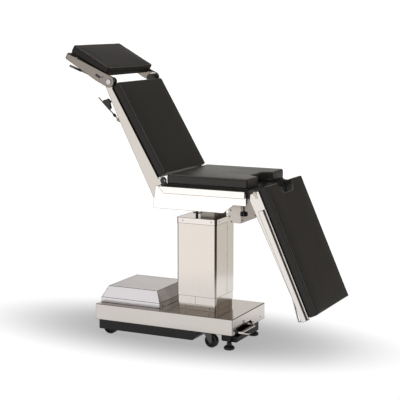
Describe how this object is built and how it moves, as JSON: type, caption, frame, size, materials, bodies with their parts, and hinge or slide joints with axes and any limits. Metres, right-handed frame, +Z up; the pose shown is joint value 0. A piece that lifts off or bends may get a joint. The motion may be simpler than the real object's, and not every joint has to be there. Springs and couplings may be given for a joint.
{
  "type": "operating table",
  "caption": "Mobile operating table on a telescopic steel column, with jointed head, back, seat and leg sections, side rails, release levers and a castored, braked base.",
  "frame": {"origin": "on the floor under the middle of the column's lifting ram, which is the centre of the table's footprint in the pose of the picture", "axes": "+Z up, +X towards the leg end, -Y the patient's right-hand side when lying on the back"},
  "size_m": [1.5807, 0.588, 1.7102],
  "materials": {
    "stainless_sheet": "satin",
    "stainless_plate": "satin",
    "chrome": "polished",
    "dark_casting": "satin",
    "grey_frame": "satin",
    "ground_steel": "satin",
    "black_vinyl": "satin",
    "black_board": "matte",
    "black_plastic": "satin",
    "black_hinge": "gloss",
    "wheel_rubber": "matte",
    "foot_rubber": "matte"
  },
  "bodies": {
    "base": {"base_cover": "stainless_sheet", "chassis": "dark_casting", "power_box_cover": "stainless_sheet", "power_unit": "grey_frame", "column_collar": "stainless_sheet", "base_screws": "chrome", "lift_cylinder": "grey_frame", "rear_axle": "ground_steel", "pedal_shaft": "ground_steel"},
    "brake_pedal": {"brake_pedal": "chrome"},
    "release_pedal": {"release_pedal": "chrome"},
    "skirt": {"column_skirt": "stainless_sheet"},
    "lift": {"column_casing": "stainless_sheet", "column_cap": "stainless_sheet", "cap_screws": "chrome", "lift_ram": "chrome", "head_block": "dark_casting", "trend_pin": "ground_steel"},
    "tilt_ram": {"tilt_ram": "chrome"},
    "cradle": {"tilt_cradle": "dark_casting"},
    "seat": {"seat_frame": "grey_frame", "seat_housing": "stainless_sheet", "seat_side_plate_right": "stainless_plate", "seat_side_plate_left": "stainless_plate", "seat_rail_right": "stainless_plate", "seat_rail_left": "stainless_plate", "seat_board": "black_board", "seat_cushion": "black_vinyl", "roll_pin": "ground_steel", "back_hinge_pins": "chrome", "leg_hinge_bolts": "chrome"},
    "back": {"back_side_plate_right": "stainless_plate", "back_side_plate_left": "stainless_plate", "back_board": "black_board", "back_cushion": "black_vinyl", "back_cross_tube": "stainless_plate", "head_hinge_pins": "black_hinge"},
    "back_lever": {"back_lever": "chrome", "back_lever_grip": "black_plastic"},
    "head": {"head_arm_right": "stainless_plate", "head_arm_left": "stainless_plate", "head_board": "black_board", "head_cushion": "black_vinyl", "head_cross_bar": "stainless_plate"},
    "head_lever": {"head_lever": "chrome"},
    "leg": {"leg_side_plate_right": "stainless_plate", "leg_side_plate_left": "stainless_plate", "leg_board": "black_board", "leg_cushion": "black_vinyl"},
    "leg_bail": {"leg_release_bail": "chrome"},
    "rear_wheel_right": {"rear_wheel_right": "wheel_rubber"},
    "castor_right": {"castor_fork_right": "grey_frame"},
    "castor_wheel_right": {"castor_wheel_right": "wheel_rubber"},
    "brake_foot_right": {"brake_foot_right": "foot_rubber"},
    "knob_right": {"clamp_knob_right": "black_plastic"},
    "rear_wheel_left": {"rear_wheel_left": "wheel_rubber"},
    "castor_left": {"castor_fork_left": "grey_frame"},
    "castor_wheel_left": {"castor_wheel_left": "wheel_rubber"},
    "brake_foot_left": {"brake_foot_left": "foot_rubber"},
    "knob_left": {"clamp_knob_left": "black_plastic"}
  },
  "joints": [
    {"name": "column_lift", "type": "slide", "parent": "base", "child": "lift", "axis": [0, 0, 1], "range_m": [-0.08, 0.2]},
    {"name": "skirt_slide", "type": "slide", "parent": "base", "child": "skirt", "axis": [0, 0, 1], "range_m": [-0.032, 0.08]},
    {"name": "trend_tilt", "type": "hinge", "parent": "lift", "child": "cradle", "pos_m": [0.045, 0, 0.8], "axis": [0, 1, 0], "range_deg": [-15, 15]},
    {"name": "tilt_ram_slide", "type": "slide", "parent": "lift", "child": "tilt_ram", "axis": [0, 0, 1], "range_m": [-0.0166, 0.0166]},
    {"name": "roll_tilt", "type": "hinge", "parent": "cradle", "child": "seat", "pos_m": [0.045, 0, 0.88], "axis": [1, 0, 0], "range_deg": [-15, 15]},
    {"name": "back_raise", "type": "hinge", "parent": "seat", "child": "back", "pos_m": [-0.1497, 0, 0.958], "axis": [0, 1, 0], "range_deg": [-69.5, 4.5]},
    {"name": "head_tilt", "type": "hinge", "parent": "back", "child": "head", "pos_m": [-0.48648, 0, 1.50472], "axis": [0, 1, 0], "range_deg": [-24.5, 70.5]},
    {"name": "leg_swing", "type": "hinge", "parent": "seat", "child": "leg", "pos_m": [0.4211, 0, 0.917], "axis": [0, 1, 0], "range_deg": [-81, 24]},
    {"name": "back_lever_pull", "type": "hinge", "parent": "back", "child": "back_lever", "pos_m": [-0.44443, -0.238, 1.28693], "axis": [0, 1, 0], "range_deg": [0, 12], "stiffness_Nm_per_rad": 3, "springref_deg": -8.59},
    {"name": "head_lever_pull", "type": "hinge", "parent": "head", "child": "head_lever", "pos_m": [-0.61646, -0.2, 1.52188], "axis": [0, 1, 0], "range_deg": [0, 7], "stiffness_Nm_per_rad": 3, "springref_deg": -8.59},
    {"name": "leg_bail_squeeze", "type": "hinge", "parent": "leg", "child": "leg_bail", "pos_m": [0.58279, 0, 0.52924], "axis": [0, -1, 0], "range_deg": [0, 6], "stiffness_Nm_per_rad": 12, "springref_deg": -5.73},
    {"name": "brake_pedal_press", "type": "hinge", "parent": "base", "child": "brake_pedal", "pos_m": [0.236, 0, 0.122], "axis": [0, 1, 0], "range_deg": [0, 9]},
    {"name": "release_pedal_press", "type": "hinge", "parent": "base", "child": "release_pedal", "pos_m": [0.236, 0, 0.122], "axis": [0, 1, 0], "range_deg": [0, 10], "stiffness_Nm_per_rad": 8, "springref_deg": -5.73},
    {"name": "rear_wheel_right_roll", "type": "hinge", "parent": "base", "child": "rear_wheel_right", "pos_m": [-0.555, -0.162, 0.045], "axis": [0, 1, 0], "continuous": true},
    {"name": "castor_right_swivel", "type": "hinge", "parent": "base", "child": "castor_right", "pos_m": [0.1, -0.174, 0.09], "axis": [0, 0, 1], "continuous": true},
    {"name": "castor_wheel_right_roll", "type": "hinge", "parent": "castor_right", "child": "castor_wheel_right", "pos_m": [0.118, -0.174, 0.04], "axis": [0, 1, 0], "continuous": true},
    {"name": "brake_foot_right_slide", "type": "slide", "parent": "base", "child": "brake_foot_right", "axis": [0, 0, 1], "range_m": [0, 0.012]},
    {"name": "knob_right_turn", "type": "hinge", "parent": "seat", "child": "knob_right", "pos_m": [0.354, -0.261, 0.804], "axis": [0, 0, 1], "continuous": true},
    {"name": "rear_wheel_left_roll", "type": "hinge", "parent": "base", "child": "rear_wheel_left", "pos_m": [-0.555, 0.162, 0.045], "axis": [0, 1, 0], "continuous": true},
    {"name": "castor_left_swivel", "type": "hinge", "parent": "base", "child": "castor_left", "pos_m": [0.1, 0.174, 0.09], "axis": [0, 0, 1], "continuous": true},
    {"name": "castor_wheel_left_roll", "type": "hinge", "parent": "castor_left", "child": "castor_wheel_left", "pos_m": [0.118, 0.174, 0.04], "axis": [0, 1, 0], "continuous": true},
    {"name": "brake_foot_left_slide", "type": "slide", "parent": "base", "child": "brake_foot_left", "axis": [0, 0, 1], "range_m": [0, 0.012]},
    {"name": "knob_left_turn", "type": "hinge", "parent": "seat", "child": "knob_left", "pos_m": [0.354, 0.261, 0.804], "axis": [0, 0, 1], "continuous": true}
  ],
  "couplings": [
    {"joint": "skirt_slide", "follows": "column_lift", "ratio": 0.4},
    {"joint": "tilt_ram_slide", "follows": "trend_tilt", "m_per_rad": 0.063},
    {"joint": "brake_foot_right_slide", "follows": "brake_pedal_press", "m_per_rad": 0.0763},
    {"joint": "brake_foot_left_slide", "follows": "brake_pedal_press", "m_per_rad": 0.0763}
  ]
}
